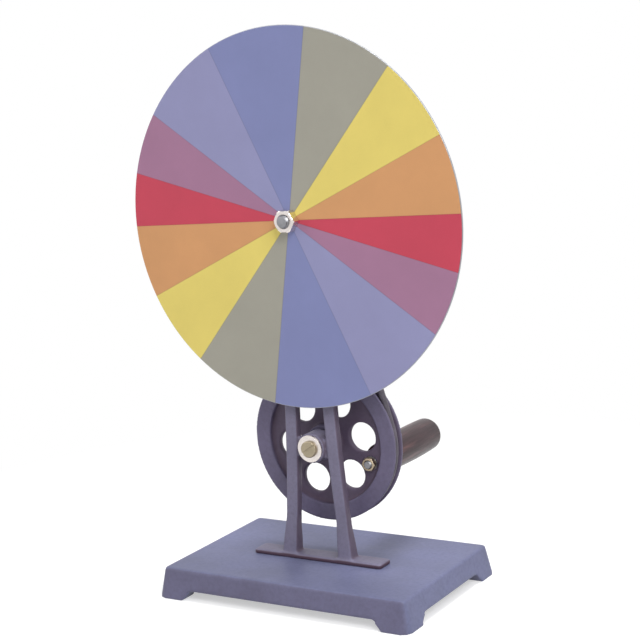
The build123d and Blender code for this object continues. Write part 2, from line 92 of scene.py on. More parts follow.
# degrees: edges that stay sharp on CAD pieces and on nuts, and edges that are broken
SHARP_ANGLE = 35.0
NUT_SHARP_ANGLE = 22.0
BROKEN_EDGE_ANGLE = 40.0
WELD = 1e-6  # points nearer than this become one

SMOOTHING = 0.5  # how far a pass moves a casting's point towards its neighbours
BLEND_ROUNDS = 6  # the blend at the legs' feet gets this many times a casting's passes
BLEND_GAIN = 1.6  # how fast the blend gets strong downwards

# where the camera looks, with the depth counted from the base's middle
AIM_RIGHT = 0.0086
AIM_FORWARDS = 1.0 * MM
AIM_HEIGHT = 0.17023
SENSOR_WIDTH = 36.0  # mm

# each lamp's name, place and size, and the setting with its power
LAMPS = (
    ("Key_Lamp", (1.1, -0.9, 1.2), 0.9, "key_power"),
    ("Top_Lamp", (0.15, 0.1, 1.5), 0.5, "top_power"),
    ("Fill_Lamp", (-1.2, -0.9, 0.8), 1.0, "fill_power"),
)

FLOOR_REACH = 6.0
FLOOR_CORNERS = ((-1, -1), (1, -1), (1, 1), (-1, 1))
FLOOR_GREY = 0.62
FLOOR_LIFT = 0.5  # light of the floor's own near the machine
FLOOR_FADE = (0.16, 0.42)  # from here to there the floor turns plain white


# ------------------------------------------------------------------------------ settings


def length(name, description, default):
    """A length in metres that a user may change."""
    return bpy.props.FloatProperty(
        name=name, description=description, default=default, min=0.0, unit="LENGTH", precision=5
    )


def angle(name, description, degrees):
    """An angle that a user may change."""
    return bpy.props.FloatProperty(
        name=name, description=description, default=math.radians(degrees), subtype="ANGLE"
    )


def colour(name, description, red, green, blue):
    """A colour that a user may change, written as an 8-bit screen colour."""
    return bpy.props.FloatVectorProperty(
        name=name,
        description=description,
        default=[screen_to_linear(value) for value in (red, green, blue)],
        size=3,
        min=0.0,
        max=1.0,
        subtype="COLOR",
    )


def screen_to_linear(value):
    """The linear value of an 8-bit screen value."""
    value /= 255
    return value / 12.92 if value <= 0.04045 else ((value + 0.055) / 1.055) ** 2.4


class CastingSettings(bpy.types.PropertyGroup):
    base_colour: colour("Base paint", "Enamel of the base casting", 113, 116, 148)
    frame_colour: colour("Frame paint", "Enamel of the upright frame", 122, 117, 140)
    wheel_colour: colour("Wheel paint", "Enamel of the drive wheel", 108, 101, 127)
    # painted shade: the colour that the enamel is darkened towards in hollows, on the frame's
    # flanks and flange edge, on the base's front skirt and in the wheel's recess
    painted_shade_colour: colour("Paint in corners", "What the enamel tends to in hollows", 78, 57, 70)
    flange: length("Flange", "Thickness of the frame's foot flange", 3.0 * MM)
    # the band of painted shade in the wheel's recess is this wide on each side of the wheel's
    # middle
    recess: length("Recess", "Half the width that the wheel's darker recess takes", 4.4 * MM)
    base_grain: length("Base mesh size", "Mesh size of the base casting", 0.85 * MM)
    frame_grain: length("Frame mesh size", "Mesh size of the upright frame", 0.55 * MM)
    wheel_grain: length("Wheel mesh size", "Mesh size of the drive wheel", 0.55 * MM)
    foot_blend: length("Foot blend", "Height of the soft blend at the foot of the legs", 7 * MM)


class FastenerSettings(bpy.types.PropertyGroup):
    steel_colour: colour("Steel", "Shafts and the hidden fasteners", 150, 150, 154)
    plate_colour: colour("Bright plate", "Plated washers and nuts", 232, 224, 220)
    bolt_colour: colour("Bolt brass", "The dull brass of the axle bolt", 168, 156, 134)
    brass_colour: colour("Brass", "The crank nut and the driven pulley", 182, 166, 142)
    bronze_colour: colour("Bronze", "Bushes", 168, 120, 78)
    edge: length("Machined edge", "Width of the broken edges of machined pieces", 0.14 * MM)
    nut_corner: angle("Nut corner", "From a flat's middle to where its straight part ends", 28.0)


class BeltSettings(bpy.types.PropertyGroup):
    belt_colour: colour("Belt", "Rubber of the round belt", 92, 86, 96)
    thickness: length("Thickness", "Diameter of the round belt", 4.5 * MM)
    sink: length("Sink", "From the rims' outer edges to the belt's middle", 3.0 * MM)


class HandleSettings(bpy.types.PropertyGroup):
    wood_colour: colour("Wood", "Light streaks of the stained wood", 98, 66, 68)
    stain_colour: colour("Stain", "Dark streaks of the stained wood", 48, 29, 34)
    grip_edge: length("Grip edge", "Width of the broken edges of the grip", 0.3 * MM)


class DiscSettings(bpy.types.PropertyGroup):
    green: colour("Green", "Green sectors", 165, 162, 150)
    yellow: colour("Yellow", "Yellow sectors", 234, 214, 116)
    orange: colour("Orange", "Orange sectors", 216, 158, 108)
    red: colour("Red", "Red sectors", 203, 72, 92)
    violet: colour("Violet", "Violet sectors", 168, 122, 152)
    indigo: colour("Indigo", "Indigo sectors", 150, 150, 190)
    blue: colour("Blue", "Blue sectors", 132, 138, 184)
    metal_colour: colour("Plate metal", "Sheet metal of the disc plate", 178, 180, 186)
    start: angle("First sector", "Clockwise from straight up, seen from the front", 9.7)
    margin: length("Margin", "Bare plate outside the coloured sectors", 0.4 * MM)
    plate_edge: length("Plate edge", "Width of the broken edges of the disc plate", 0.25 * MM)


class StageSettings(bpy.types.PropertyGroup):
    azimuth: angle("Azimuth", "Where the camera stands, from the front to the right", 32.032)
    elevation: angle("Elevation", "How far the camera looks down", 10.4605)
    roll: angle("Roll", "Turn of the camera about its line of sight", -3.8758)
    distance: length("Distance", "From the camera to the point that it looks at", 0.9934)
    lens: bpy.props.FloatProperty(
        name="Lens", description="Focal length on a 36 mm sensor", default=92.04, unit="CAMERA"
    )
    key_power: bpy.props.FloatProperty(name="Key lamp", default=17.0, subtype="POWER")
    fill_power: bpy.props.FloatProperty(name="Fill lamp", default=5.0, subtype="POWER")
    top_power: bpy.props.FloatProperty(name="Top lamp", default=12.0, subtype="POWER")
    sky: bpy.props.FloatProperty(
        name="Room light", description="Strength of the even light from all round", default=0.36
    )


class ColourDiscSettings(bpy.types.PropertyGroup):
    castings: bpy.props.PointerProperty(type=CastingSettings)
    fasteners: bpy.props.PointerProperty(type=FastenerSettings)
    belt: bpy.props.PointerProperty(type=BeltSettings)
    handle: bpy.props.PointerProperty(type=HandleSettings)
    disc: bpy.props.PointerProperty(type=DiscSettings)
    stage: bpy.props.PointerProperty(type=StageSettings)


# ------------------------------------------------------------------------------- recipes


class Recipe:
    """Adds and links the nodes of a material or of a geometry tree."""

    def __init__(self, tree):
        self.tree = tree

    def add(self, kind, inputs=None, **settings):
        """Adds a node. An input is a value or another node's output."""
        node = self.tree.nodes.new(kind)
        for setting, value in settings.items():
            setattr(node, setting, value)
        for key, value in (inputs or {}).items():
            if isinstance(value, bpy.types.NodeSocket):
                self.tree.links.new(value, node.inputs[key])
            else:
                node.inputs[key].default_value = value
        return node

    def result(self, kind, inputs=None, **settings):
        """Adds a node and gives its first output."""
        return self.add(kind, inputs, **settings).outputs[0]

    def math(self, operation, *values):
        """The result of a Math node."""
        return self.result("ShaderNodeMath", dict(enumerate(values)), operation=operation)

    def vector(self, operation, *values):
        """The vector result of a Vector Math node."""
        return self.result("ShaderNodeVectorMath", dict(enumerate(values)), operation=operation)

    def parts(self, vector):
        """The X, Y and Z of a vector."""
        return self.add("ShaderNodeSeparateXYZ", {0: vector}).outputs

    def reach(self, vector):
        """The length of a vector."""
        return self.add("ShaderNodeVectorMath", {0: vector}, operation="LENGTH").outputs["Value"]

    def span(self, value, low, high, to_low=0.0, to_high=1.0):
        """A value moved from one span to another and kept inside it."""
        inputs = {"Value": value, 1: low, 2: high, 3: to_low, 4: to_high}
        return self.result("ShaderNodeMapRange", inputs, clamp=True)


class Finish(Recipe):
    """A material's nodes, around one Principled shader."""

    def __init__(self, name, **constants):
        self.material = bpy.data.materials.new(name)
        self.material.use_nodes = True
        super().__init__(self.material.node_tree)
        self.tree.nodes.clear()
        self.shader = self.add(
            "ShaderNodeBsdfPrincipled",
            {key.replace("_", " "): value for key, value in constants.items()},
        )
        output = self.add("ShaderNodeOutputMaterial")
        self.link(self.shader.outputs[0], output.inputs["Surface"])
        self.place = self.add("ShaderNodeTexCoord").outputs["Object"]

    def link(self, output, socket):
        self.tree.links.new(output, socket)

    def noise(self, place, scale, detail, roughness):
        """Noise between 0 and 1 at a scale of patches a metre."""
        inputs = {"Vector": place, "Scale": scale, "Detail": detail, "Roughness": roughness}
        return self.add("ShaderNodeTexNoise", inputs).outputs["Fac"]

    def rings(self, centre, scale, detail=3.0):
        """Noise that runs round a shaft: rings on its faces and turning marks along it."""
        offset = self.vector("SUBTRACT", self.place, centre)
        flat = self.vector("MULTIPLY", offset, (1.0, 0.0, 1.0))
        across = self.math("ADD", self.reach(flat), self.parts(offset)["Y"])
        inputs = {"W": across, "Scale": scale, "Detail": detail}
        return self.add("ShaderNodeTexNoise", inputs, noise_dimensions="1D").outputs["Fac"]

    def stretched(self, centre, scales):
        """Coordinates about a point, stretched along the axes."""
        inputs = {"Vector": self.vector("SUBTRACT", self.place, centre), "Scale": scales}
        return self.result("ShaderNodeMapping", inputs)

    def mix(self, factor, first, second):
        """A colour between two colours, each a value or another node's output."""
        colours = [
            value if isinstance(value, bpy.types.NodeSocket) else (*value[:3], 1.0)
            for value in (first, second)
        ]
        inputs = {0: factor, 6: colours[0], 7: colours[1]}
        return self.add("ShaderNodeMix", inputs, data_type="RGBA").outputs[2]

    def ramp(self, value, *stops):
        """A colour ramp from stops of position and colour."""
        node = self.add("ShaderNodeValToRGB", {"Fac": value})
        elements = node.color_ramp.elements
        while len(elements) < len(stops):
            elements.new(1.0)
        for element, (position, stop_colour) in zip(elements, stops):
            element.position = position
            element.color = (*stop_colour[:3], 1.0)
        return node.outputs["Color"]

    def colour(self, output):
        self.link(output, self.shader.inputs["Base Color"])

    def roughness(self, value, low, high):
        """Roughness that follows a noise value."""
        self.link(self.span(value, 0.25, 0.75, low, high), self.shader.inputs["Roughness"])

    def bump(self, *layers):
        """Stacks bump layers, each a height output and its depth in metres."""
        normal = None
        for height, depth in layers:
            inputs = {"Height": height, "Distance": depth, "Strength": 1.0}
            if normal is not None:
                inputs["Normal"] = normal
            normal = self.add("ShaderNodeBump", inputs).outputs["Normal"]
        self.link(normal, self.shader.inputs["Normal"])
        return self.material


def shaded(value, factor):
    """A darker or lighter shade of a colour."""
    return tuple(min(channel * factor, 1.0) for channel in value)


def recess_shade_share(finish, middle, half_width):
    """How much painted shade darkens the wheel's recess, by how far a point lies from the wheel's
    middle along the axle.
    """
    along = finish.parts(finish.place)["Y"]
    off = finish.math("ABSOLUTE", finish.math("SUBTRACT", along, middle))
    return finish.span(off, 0.6 * half_width, half_width, 0.55, 0.0)


def flank_shade_share(finish, flange_top):
    """How strongly painted shade darkens the frame: on the legs' narrow sides and along the
    flange's front edge.
    """
    normal = finish.add("ShaderNodeNewGeometry").outputs["Normal"]
    facing = finish.parts(normal)
    # painted shade on faces that look sideways: the legs' narrow sides
    shaded_flank = finish.span(finish.math("ABSOLUTE", facing["X"]), 0.45, 0.9, 0.0, 0.6)
    height = finish.parts(finish.place)["Z"]
    # painted shade along the flange's front edge, on faces that don't look up
    low = finish.span(height, flange_top - 0.6 * MM, flange_top - 0.1 * MM, 1.0, 0.0)
    upright = finish.span(facing["Z"], 0.3, 0.8, 0.95, 0.0)
    return finish.math("MAXIMUM", shaded_flank, finish.math("MULTIPLY", low, upright))


def front_shade_share(finish):
    """How much painted shade darkens a face, by how far it looks to the front, as the base's front
    skirt does.
    """
    normal = finish.add("ShaderNodeNewGeometry").outputs["Normal"]
    return finish.span(finish.parts(normal)["Y"], -0.5, -0.9, 0.0, 0.35)


def enamel(name, paint, corner, painted_shade_share, painted_shade_mask):
    """Stove enamel on a casting: slightly mottled, with painted shade in hollows, and thin along
    edges.

    The corner colour is painted shade: it is painted in hollows by the share given and elsewhere by
    the painted shade mask that the last argument works out.
    """
    finish = Finish(name, Specular_IOR_Level=0.3, Coat_Weight=0.08, Coat_Roughness=0.3)
    cloud = finish.noise(finish.place, 34.0, 4.0, 0.55)
    fleck = finish.noise(finish.place, 420.0, 3.0, 0.6)
    body = finish.ramp(
        cloud, (0.32, shaded(paint, 0.86)), (0.5, paint), (0.68, shaded(paint, 1.1))
    )
    flecked = finish.mix(finish.span(fleck, 0.42, 0.72, 0.0, 0.35), body, shaded(paint, 0.62))
    point = finish.add("ShaderNodeNewGeometry").outputs["Pointiness"]
    # painted shade in hollows: where pointiness is low the enamel darkens towards the corner colour
    hollow_shade = finish.math("MULTIPLY", finish.span(point, 0.5, 0.44), painted_shade_share)
    edge = finish.math("MULTIPLY", finish.span(point, 0.53, 0.62), finish.span(fleck, 0.4, 0.6))
    # painted shade: the corner colour laid in hollows, then wherever the painted shade mask asks
    # for it
    with_painted_shade = finish.mix(painted_shade_mask(finish), finish.mix(hollow_shade, flecked, corner), corner)
    finish.colour(finish.mix(finish.math("MULTIPLY", edge, 0.5), with_painted_shade, shaded(paint, 1.6)))
    finish.roughness(cloud, 0.46, 0.6)
    skin = finish.noise(finish.place, 620.0, 2.0, 0.4)
    waves = finish.noise(finish.place, 110.0, 2.0, 0.4)
    return finish.bump((waves, 0.00035), (skin, 0.00006))


def turned_metal(name, metal, tarnish, centre, rough):
    """Metal turned on a lathe: fine rings and an uneven tarnish, a shade of the metal."""
    finish = Finish(name, Metallic=1.0, Specular_IOR_Level=0.5)
    marks = finish.rings(centre, 5200.0)
    cloud = finish.noise(finish.place, 260.0, 4.0, 0.6)
    toned = finish.mix(finish.span(cloud, 0.42, 0.74, 0.0, 0.35), metal, shaded(metal, tarnish))
    finish.colour(finish.mix(finish.span(marks, 0.3, 0.7, 0.0, 0.22), toned, shaded(metal, 0.6)))
    finish.roughness(cloud, rough, rough + 0.14)
    return finish.bump((marks, 0.00001))


def stained_wood(name, light, dark, centre, end_back):
    """Turned and stained hardwood with a worn varnish: streaks along the grip."""
    finish = Finish(name, Coat_Weight=0.22, Coat_Roughness=0.28, Specular_IOR_Level=0.35)
    streaks = finish.noise(finish.stretched(centre, (1.0, 0.07, 1.0)), 900.0, 5.0, 0.62)
    bands = finish.noise(finish.stretched(centre, (1.0, 0.12, 1.0)), 190.0, 3.0, 0.5)
    pores = finish.noise(finish.stretched(centre, (1.0, 0.05, 1.0)), 3600.0, 2.0, 0.5)
    wood = finish.ramp(bands, (0.3, dark), (0.5, shaded(dark, 1.5)), (0.72, light))
    streaked = finish.mix(finish.span(streaks, 0.4, 0.7, 0.0, 0.65), wood, shaded(dark, 0.7))
    # the end is darker from being handled
    handled = finish.span(finish.parts(finish.place)["Y"], end_back - 20 * MM, end_back, 0.0, 0.7)
    finish.colour(finish.mix(handled, streaked, shaded(dark, 0.75)))
    finish.roughness(streaks, 0.34, 0.5)
    marks = finish.rings(centre, 1500.0)
    return finish.bump((streaks, 0.00008), (pores, 0.00004), (marks, 0.00002))


def printed_paper(name, ink):
    """Matt coloured paper on the disc: fine fibres, uneven ink and a trimmed, thin dark seam."""
    finish = Finish(name, Specular_IOR_Level=0.3, Sheen_Weight=0.05, Roughness=0.6)
    seam = finish.add("ShaderNodeAttribute", attribute_name="seam").outputs["Fac"]
    patch = finish.noise(finish.place, 26.0, 4.0, 0.6)
    fibre = finish.noise(finish.place, 1500.0, 4.0, 0.65)
    inked = finish.ramp(patch, (0.3, shaded(ink, 0.95)), (0.55, ink), (0.75, shaded(ink, 1.05)))
    speckled = finish.mix(finish.span(fibre, 0.35, 0.7, 0.0, 0.12), inked, shaded(ink, 0.7))
    cut = finish.span(seam, 0.00012, 0.00045, 0.35, 0.0)
    finish.colour(finish.mix(cut, speckled, shaded(ink, 0.5)))
    finish.roughness(patch, 0.52, 0.66)
    return finish.bump((patch, 0.0002), (fibre, 0.00003))


def sheet_metal(name, metal, centre):
    """Spun sheet: broad and fine rings round the middle, with a dull bloom."""
    finish = Finish(name, Metallic=1.0, Anisotropic=0.4)
    rings = finish.rings(centre, 2600.0, 5.0)
    bloom = finish.noise(finish.place, 42.0, 4.0, 0.6)
    spun = finish.mix(finish.span(rings, 0.3, 0.7), shaded(metal, 0.72), shaded(metal, 1.12))
    finish.colour(finish.mix(finish.span(bloom, 0.45, 0.75, 0.0, 0.4), spun, shaded(metal, 0.6)))
    finish.roughness(bloom, 0.32, 0.5)
    return finish.bump((rings, 0.00002))


def moulded_rubber(name, rubber):
    """Matt rubber with a dusty bloom."""
    finish = Finish(name, Specular_IOR_Level=0.35, Sheen_Weight=0.08)
    dust = finish.noise(finish.place, 150.0, 5.0, 0.65)
    grain = finish.noise(finish.place, 2200.0, 2.0, 0.5)
    finish.colour(
        finish.ramp(dust, (0.35, shaded(rubber, 0.75)), (0.55, rubber), (0.8, shaded(rubber, 1.7)))
    )
    finish.roughness(dust, 0.36, 0.56)
    return finish.bump((grain, 0.00004))


# -------------------------------------------------------------------------------- meshes


def add_piece(name, mesh, material=None):
    """Links a new object that sits at the origin."""
    piece = bpy.data.objects.new(name, mesh)
    bpy.context.scene.collection.objects.link(piece)
    if material is not None:
        piece.data.materials.clear()
        piece.data.materials.append(material)
    return piece


def hand_over(piece, body, node):
    """Rides a finished piece on its body, in the place of its CAD node."""
    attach(piece, body)
    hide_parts(node)


def merged_copy(node):
    """A CAD node's mesh with its loose triangles joined and flat faces made whole."""
    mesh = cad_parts[node].data.copy()
    shape = bmesh.new()
    shape.from_mesh(mesh)
    bmesh.ops.remove_doubles(shape, verts=shape.verts, dist=WELD)
    bmesh.ops.dissolve_limit(
        shape, angle_limit=math.radians(0.4), verts=shape.verts, edges=shape.edges
    )
    bmesh.ops.recalc_face_normals(shape, faces=shape.faces)
    shape.to_mesh(mesh)
    shape.free()
    return mesh


def settle(piece):
    """Turns a piece and its live modifiers into a plain mesh."""
    mesh = bpy.data.meshes.new_from_object(
        piece.evaluated_get(bpy.context.evaluated_depsgraph_get())
    )
    piece.modifiers.clear()
    old = piece.data
    piece.data = mesh
    mesh.name = piece.name
    if old.users == 0:
        bpy.data.meshes.remove(old)
    return piece


def machined_piece(node, edge, material):
    """A CAD node as a machined piece, with its sharp edges broken."""
    piece = add_piece(node.title(), merged_copy(node), material)
    piece.data.shade_smooth()
    piece.data.set_sharp_from_angle(angle=math.radians(SHARP_ANGLE))
    bevel = piece.modifiers.new("Broken edges", "BEVEL")
    bevel.width = edge
    bevel.segments = 2
    bevel.limit_method = "ANGLE"
    bevel.angle_limit = math.radians(BROKEN_EDGE_ANGLE)
    bevel.harden_normals = True
    return settle(piece)


def smooth_over(piece, name, rounds):
    """Adds a modifier that smooths a mesh in so many passes."""
    modifier = piece.modifiers.new(name, "SMOOTH")
    modifier.factor = SMOOTHING
    modifier.iterations = rounds
    return modifier


def cast_piece(node, grain, material, rounds=5, blend_height=None):
    """A CAD node as a casting: one skin whose edges and inner corners are softly rounded.

    Between two blend heights the skin is smoothed further, most of all at the lower one.
    """
    piece = add_piece(node.title(), merged_copy(node), material)
    skin = piece.modifiers.new("Cast skin", "REMESH")
    skin.mode = "VOXEL"
    skin.voxel_size = grain
    skin.use_smooth_shade = True
    settle(piece)
    if blend_height is not None:
        soft = piece.vertex_groups.new(name="Blend")
        low, high = blend_height
        for vertex in piece.data.vertices:
            share = BLEND_GAIN * (high - vertex.co.z) / (high - low)
            if vertex.co.z > low - grain:
                soft.add([vertex.index], max(0.0, min(1.0, share)), "REPLACE")
        smooth_over(piece, "Foot blend", rounds * BLEND_ROUNDS).vertex_group = soft.name
    smooth_over(piece, "Cast edges", rounds)
    settle(piece)
    piece.vertex_groups.clear()
    piece.data.shade_smooth()
    return piece


def round_core(mesh, centre, first, last, radius):
    """Slims the part of a shaft that carries a thread to the thread's core."""
    for vertex in mesh.vertices:
        offset = Vector((vertex.co.x - centre.x, 0.0, vertex.co.z - centre.z))
        if first <= vertex.co.y <= last and offset.length > radius:
            offset *= radius / offset.length
            vertex.co.x = centre.x + offset.x
            vertex.co.z = centre.z + offset.z


# ------------------------------------------------------------------------ geometry trees


def new_geometry_tree(name, inputs):
    """A geometry tree with named inputs, given as name: (kind, default)."""
    tree = bpy.data.node_groups.new(name, "GeometryNodeTree")
    tree.interface.new_socket("Geometry", in_out="INPUT", socket_type="NodeSocketGeometry")
    for input_name, (kind, default) in inputs.items():
        socket = tree.interface.new_socket(
            input_name, in_out="INPUT", socket_type=f"NodeSocket{kind}"
        )
        if default is not None:
            socket.default_value = default
    tree.interface.new_socket("Geometry", in_out="OUTPUT", socket_type="NodeSocketGeometry")
    recipe = Recipe(tree)
    sizes = recipe.add("NodeGroupInput").outputs
    return tree, recipe, sizes


def finish_tree(recipe, geometry, material):
    """Ends a tree with Realize Instances and Set Material."""
    real = recipe.result("GeometryNodeRealizeInstances", {"Geometry": geometry})
    painted = recipe.result("GeometryNodeSetMaterial", {"Geometry": real, "Material": material})
    recipe.add("NodeGroupOutput", {"Geometry": painted})


def shade(recipe, geometry, smooth, domain="FACE"):
    """Shades faces or edges smooth or sharp."""
    inputs = {"Geometry": geometry, "Shade Smooth": smooth}
    return recipe.result("GeometryNodeSetShadeSmooth", inputs, domain=domain)


def shade_by_angle(recipe, geometry, degrees):
    """Smooth faces, with sharp edges over an angle."""
    turn = recipe.result("GeometryNodeInputMeshEdgeAngle")
    flat = recipe.math("LESS_THAN", turn, math.radians(degrees))
    return shade(recipe, shade(recipe, geometry, True), flat, "EDGE")


def sweep(recipe, curve, sides, radius, caps):
    """A tube round a curve, with as many sides as asked for."""
    section = recipe.result(
        "GeometryNodeCurvePrimitiveCircle", {"Resolution": sides, "Radius": radius}
    )
    inputs = {"Curve": curve, "Profile Curve": section, "Fill Caps": caps}
    return recipe.result("GeometryNodeCurveToMesh", inputs)


def grow(tree, piece_name, values, seed=None):
    """Runs a tree with its inputs' values and keeps the result as a plain mesh."""
    seed = seed or add_piece("Seed", bpy.data.meshes.new("Seed"))
    modifier = seed.modifiers.new(tree.name, "NODES")
    modifier.node_group = tree
    for item in tree.interface.items_tree:
        if item.in_out == "INPUT" and item.name in values:
            modifier[item.identifier] = values[item.name]
    evaluated = seed.evaluated_get(bpy.context.evaluated_depsgraph_get())
    mesh = bpy.data.meshes.new_from_object(evaluated)
    mesh.name = piece_name
    bpy.data.objects.remove(seed)
    return add_piece(piece_name, mesh)


def unit_grid(recipe, across, up):
    """A grid 1 m wide and high about the origin, and the coordinates of its points."""
    grid = recipe.result(
        "GeometryNodeMeshGrid",
        {"Size X": 1.0, "Size Y": 1.0, "Vertices X": across, "Vertices Y": up},
    )
    return grid, recipe.parts(recipe.result("GeometryNodeInputPosition"))


def nut_tree():
    """A hexagon nut by rule: a grid rolled into a ring, with its flats, chamfers and bore."""
    tree, recipe, sizes = new_geometry_tree(
        "Hexagon nut",
        {
            "Centre": ("Vector", None),
            "Thickness": ("Float", 0.005),
            "Across Flats": ("Float", 0.01),
            "Bore Radius": ("Float", 0.003),
            "Countersink": ("Float", 0.0004),
            "Flat Reach": ("Float", 0.49),
            "Turn": ("Float", math.radians(30.0)),
            "Material": ("Material", None),
        },
    )
    grid, parts = unit_grid(recipe, 145, 61)
    angle = recipe.math("MULTIPLY", parts["X"], math.tau)
    # the section's path: front face outwards, outside to the rear, rear face inwards, bore
    path = recipe.math("MULTIPLY", recipe.math("ADD", parts["Y"], 0.5), 4.0)
    face_out = recipe.span(path, 0.0, 1.0)
    face_in = recipe.span(path, 2.0, 3.0)
    outward = recipe.math("SUBTRACT", face_out, face_in)
    side = recipe.span(path, 1.0, 2.0)
    back = recipe.span(path, 3.0, 4.0)
    depth = recipe.math("MULTIPLY", recipe.math("SUBTRACT", side, back), sizes["Thickness"])
    near_face = recipe.math("MINIMUM", depth, recipe.math("SUBTRACT", sizes["Thickness"], depth))
    # the hexagon
    sixth = math.tau / 6
    wrapped = recipe.math("WRAP", angle, sixth / 2, -sixth / 2)
    reach = recipe.math("MINIMUM", recipe.math("ABSOLUTE", wrapped), sizes["Flat Reach"])
    half_flats = recipe.math("MULTIPLY", sizes["Across Flats"], 0.5)
    hexagon = recipe.math("DIVIDE", half_flats, recipe.math("COSINE", reach))
    cone_start = recipe.math("MULTIPLY", sizes["Across Flats"], 0.48)
    cone_slope = 1 / math.tan(math.radians(30))
    cone = recipe.math("MULTIPLY_ADD", near_face, cone_slope, cone_start)
    outer = recipe.math("MINIMUM", hexagon, cone)
    sink = recipe.math("MAXIMUM", recipe.math("SUBTRACT", sizes["Countersink"], near_face), 0.0)
    bore = recipe.math("ADD", sizes["Bore Radius"], sink)
    across = recipe.math("SUBTRACT", outer, bore)
    radius = recipe.math("MULTIPLY_ADD", across, outward, bore)
    turned = recipe.math("ADD", angle, sizes["Turn"])
    local = recipe.result(
        "ShaderNodeCombineXYZ",
        {
            0: recipe.math("MULTIPLY", radius, recipe.math("COSINE", turned)),
            1: depth,
            2: recipe.math("MULTIPLY", radius, recipe.math("SINE", turned)),
        },
    )
    placed = recipe.result(
        "GeometryNodeSetPosition",
        {"Geometry": grid, "Position": recipe.vector("ADD", local, sizes["Centre"])},
    )
    closed = recipe.result("GeometryNodeMergeByDistance", {"Geometry": placed, "Distance": WELD})
    finish_tree(recipe, shade_by_angle(recipe, closed, NUT_SHARP_ANGLE), sizes["Material"])
    return tree


def thread_tree():
    """The ridge of a screw thread: a diamond that follows a helix round a shaft."""
    tree, recipe, sizes = new_geometry_tree(
        "Screw thread",
        {
            "Start": ("Vector", None),
            "Radius": ("Float", 0.004),
            "Pitch": ("Float", 0.00125),
            "Length": ("Float", 0.008),
            "Depth": ("Float", 0.0005),
            "Material": ("Material", None),
        },
    )
    turns = recipe.math("DIVIDE", sizes["Length"], sizes["Pitch"])
    helix_radius = recipe.math("SUBTRACT", sizes["Radius"], sizes["Depth"])
    helix = recipe.result(
        "GeometryNodeCurveSpiral",
        {
            "Resolution": 48,
            "Rotations": turns,
            "Start Radius": helix_radius,
            "End Radius": helix_radius,
            "Height": sizes["Length"],
        },
    )
    upright = recipe.result("GeometryNodeSetCurveNormal", {"Curve": helix}, mode="Z_UP")
    ridge = sweep(recipe, upright, 4, sizes["Depth"], True)
    along_y = (-math.pi / 2, 0.0, 0.0)
    inputs = {"Geometry": ridge, "Translation": sizes["Start"], "Rotation": along_y}
    laid = recipe.result("GeometryNodeTransform", inputs)
    finish_tree(recipe, shade(recipe, laid, False), sizes["Material"])
    return tree


def belt_tree():
    """A round section that follows the belt's path."""
    tree, recipe, sizes = new_geometry_tree(
        "Round belt",
        {"Thickness": ("Float", 0.0045), "Sides": ("Int", 24), "Material": ("Material", None)},
    )
    radius = recipe.math("MULTIPLY", sizes["Thickness"], 0.5)
    skin = sweep(recipe, sizes["Geometry"], sizes["Sides"], radius, False)
    finish_tree(recipe, shade(recipe, skin, True), sizes["Material"])
    return tree


def sector_tree():
    """One coloured sector of the disc, and the same again in the other half turn."""
    tree, recipe, sizes = new_geometry_tree(
        "Coloured sectors",
        {
            "Centre": ("Vector", None),
            "Start Angle": ("Float", 0.0),
            "Angle": ("Float", 0.5),
            "Inner Radius": ("Float", 0.0042),
            "Outer Radius": ("Float", 0.1146),
            "Thickness": ("Float", 0.0003),
            "Material": ("Material", None),
        },
    )
    grid, parts = unit_grid(recipe, 41, 48)
    round_share = recipe.math("ADD", parts["X"], 0.5)
    out_share = recipe.math("ADD", parts["Y"], 0.5)
    turn = recipe.math("MULTIPLY_ADD", round_share, sizes["Angle"], sizes["Start Angle"])
    breadth = recipe.math("SUBTRACT", sizes["Outer Radius"], sizes["Inner Radius"])
    radius = recipe.math("MULTIPLY_ADD", out_share, breadth, sizes["Inner Radius"])
    # how far a point is from the nearer straight edge
    side = recipe.math("MINIMUM", round_share, recipe.math("SUBTRACT", 1.0, round_share))
    side_angle = recipe.math("MULTIPLY", side, sizes["Angle"])
    seam = recipe.math("MULTIPLY", radius, recipe.math("SINE", side_angle))
    inputs = {"Geometry": grid, "Name": "seam", "Value": seam}
    marked = recipe.result("GeometryNodeStoreNamedAttribute", inputs)
    local = recipe.result(
        "ShaderNodeCombineXYZ",
        {
            0: recipe.math("MULTIPLY", radius, recipe.math("SINE", turn)),
            2: recipe.math("MULTIPLY", radius, recipe.math("COSINE", turn)),
        },
    )
    face = recipe.result("GeometryNodeSetPosition", {"Geometry": marked, "Position": local})
    back = recipe.result("GeometryNodeFlipFaces", {"Mesh": face})
    offset = recipe.result("ShaderNodeCombineXYZ", {1: sizes["Thickness"]})
    thick = recipe.result(
        "GeometryNodeExtrudeMesh",
        {"Mesh": face, "Offset": offset, "Offset Scale": 1.0, "Individual": False},
    )
    sheet = recipe.add("GeometryNodeJoinGeometry")
    recipe.tree.links.new(back, sheet.inputs[0])
    recipe.tree.links.new(thick, sheet.inputs[0])
    whole = recipe.result(
        "GeometryNodeMergeByDistance", {"Geometry": sheet.outputs[0], "Distance": WELD}
    )
    points = recipe.result("GeometryNodeMeshLine", {"Count": 2, "Offset": (0.0, 0.0, 0.0)})
    half_turn = recipe.math("MULTIPLY", recipe.result("GeometryNodeInputIndex"), math.pi)
    rotation = recipe.result("ShaderNodeCombineXYZ", {1: half_turn})
    inputs = {"Points": points, "Instance": whole, "Rotation": rotation}
    pair = recipe.result("GeometryNodeInstanceOnPoints", inputs)
    inputs = {"Geometry": pair, "Translation": sizes["Centre"]}
    moved = recipe.result("GeometryNodeTransform", inputs)
    finish_tree(recipe, moved, sizes["Material"])
    return tree


def finished_tree(name, build):
    """A geometry tree, built the first time that it is asked for."""
    return bpy.data.node_groups.get(name) or build()


